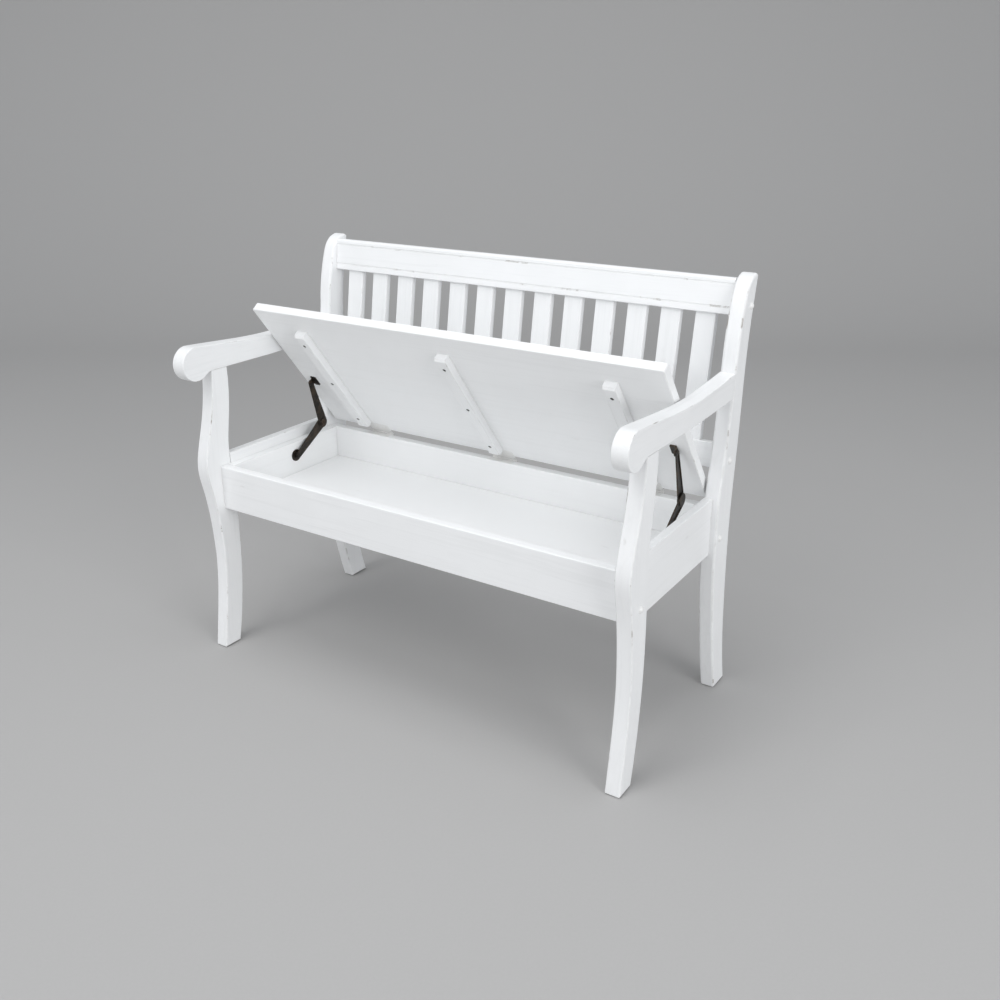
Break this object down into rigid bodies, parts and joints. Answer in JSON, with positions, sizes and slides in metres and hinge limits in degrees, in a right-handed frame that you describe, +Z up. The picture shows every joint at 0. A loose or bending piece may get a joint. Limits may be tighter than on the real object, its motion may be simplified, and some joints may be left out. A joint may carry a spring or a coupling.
{
  "type": "storage bench",
  "caption": "White painted wooden storage bench with scrolled arms, slatted back and a lifting seat lid held open by folding stays over a shallow box.",
  "frame": {"origin": "on the floor, under the middle of the bench's overall box", "axes": "+Z up, -Y towards the front of the seat, +X towards the sitter's left hand"},
  "size_m": [1.078, 0.5474, 0.9025],
  "materials": {
    "white_wood": "satin white paint over close-grained wood, rubbed at the edges",
    "bottom_board": "satin white painted board",
    "dowel_wood": "plain fluted beech",
    "painted_hinges": "steel brush-painted with the wood",
    "bronze_stays": "dark bronze lacquer, worn brown at the elbow",
    "dark_screws": "black-oxide steel",
    "zinc_steel": "bright zinc",
    "white_caps": "moulded white",
    "glides": "dark nylon"
  },
  "bodies": {
    "frame": {"arm_left": "white_wood", "arm_right": "white_wood", "back_apron": "white_wood", "back_slat_01": "white_wood", "back_slat_02": "white_wood", "back_slat_03": "white_wood", "back_slat_04": "white_wood", "back_slat_05": "white_wood", "back_slat_06": "white_wood", "back_slat_07": "white_wood", "back_slat_08": "white_wood", "back_slat_09": "white_wood", "back_slat_10": "white_wood", "back_slat_11": "white_wood", "back_slat_12": "white_wood", "back_slat_13": "white_wood", "barrel_nuts": "zinc_steel", "bolt_caps": "white_caps", "bottom_cleats": "white_wood", "bottom_panel": "bottom_board", "box_side_left": "white_wood", "box_side_right": "white_wood", "crest_rail": "white_wood", "foot_glides": "glides", "frame_bolts": "zinc_steel", "frame_hardware_screws": "dark_screws", "front_apron": "white_wood", "front_leg_left": "white_wood", "front_leg_right": "white_wood", "hinge_fixed_leaf_centre": "painted_hinges", "hinge_fixed_leaf_left": "painted_hinges", "hinge_fixed_leaf_right": "painted_hinges", "hinge_pins": "painted_hinges", "joint_dowels": "dowel_wood", "lower_back_rail": "white_wood", "rear_post_left": "white_wood", "rear_post_right": "white_wood", "side_panel_left": "white_wood", "side_panel_right": "white_wood", "stay_wall_plate_left": "bronze_stays", "stay_wall_plate_right": "bronze_stays"},
    "lid": {"batten_screws": "dark_screws", "hinge_lid_leaf_centre": "painted_hinges", "hinge_lid_leaf_left": "painted_hinges", "hinge_lid_leaf_right": "painted_hinges", "lid_batten_centre": "white_wood", "lid_batten_left": "white_wood", "lid_batten_right": "white_wood", "lid_board": "white_wood", "lid_hardware_screws": "dark_screws", "stay_bracket_pin_left": "bronze_stays", "stay_bracket_pin_right": "bronze_stays", "stay_lid_bracket_left": "bronze_stays", "stay_lid_bracket_right": "bronze_stays"},
    "stay_lower_left": {"stay_lower_arm_left": "bronze_stays", "stay_elbow_pin_left": "bronze_stays"},
    "stay_upper_left": {"stay_upper_arm_left": "bronze_stays"},
    "stay_lower_right": {"stay_lower_arm_right": "bronze_stays", "stay_elbow_pin_right": "bronze_stays"},
    "stay_upper_right": {"stay_upper_arm_right": "bronze_stays"}
  },
  "joints": [
    {"name": "lid_hinge", "type": "hinge", "parent": "frame", "child": "lid", "pos_m": [0, 0.1902, 0.4442], "axis": [-1, 0, 0], "range_deg": [-51.85, 0]},
    {"name": "stay_lower_pivot_left", "type": "hinge", "parent": "frame", "child": "stay_lower_left", "pos_m": [0.4741, 0.0173, 0.4108], "axis": [-1, 0, 0], "range_deg": [0, 26.9]},
    {"name": "stay_upper_pivot_left", "type": "hinge", "parent": "lid", "child": "stay_upper_left", "pos_m": [0.471, 0.07331, 0.5786], "axis": [-1, 0, 0], "range_deg": [-18.6, 0]},
    {"name": "stay_lower_pivot_right", "type": "hinge", "parent": "frame", "child": "stay_lower_right", "pos_m": [-0.4741, 0.0173, 0.4108], "axis": [-1, 0, 0], "range_deg": [0, 26.9]},
    {"name": "stay_upper_pivot_right", "type": "hinge", "parent": "lid", "child": "stay_upper_right", "pos_m": [-0.471, 0.07331, 0.5786], "axis": [-1, 0, 0], "range_deg": [-18.6, 0]}
  ],
  "couplings": [
    {"joint": "stay_lower_pivot_left", "follows": "lid_hinge", "ratio": -0.518},
    {"joint": "stay_upper_pivot_left", "follows": "lid_hinge", "ratio": 0.358},
    {"joint": "stay_lower_pivot_right", "follows": "lid_hinge", "ratio": -0.518},
    {"joint": "stay_upper_pivot_right", "follows": "lid_hinge", "ratio": 0.358}
  ]
}
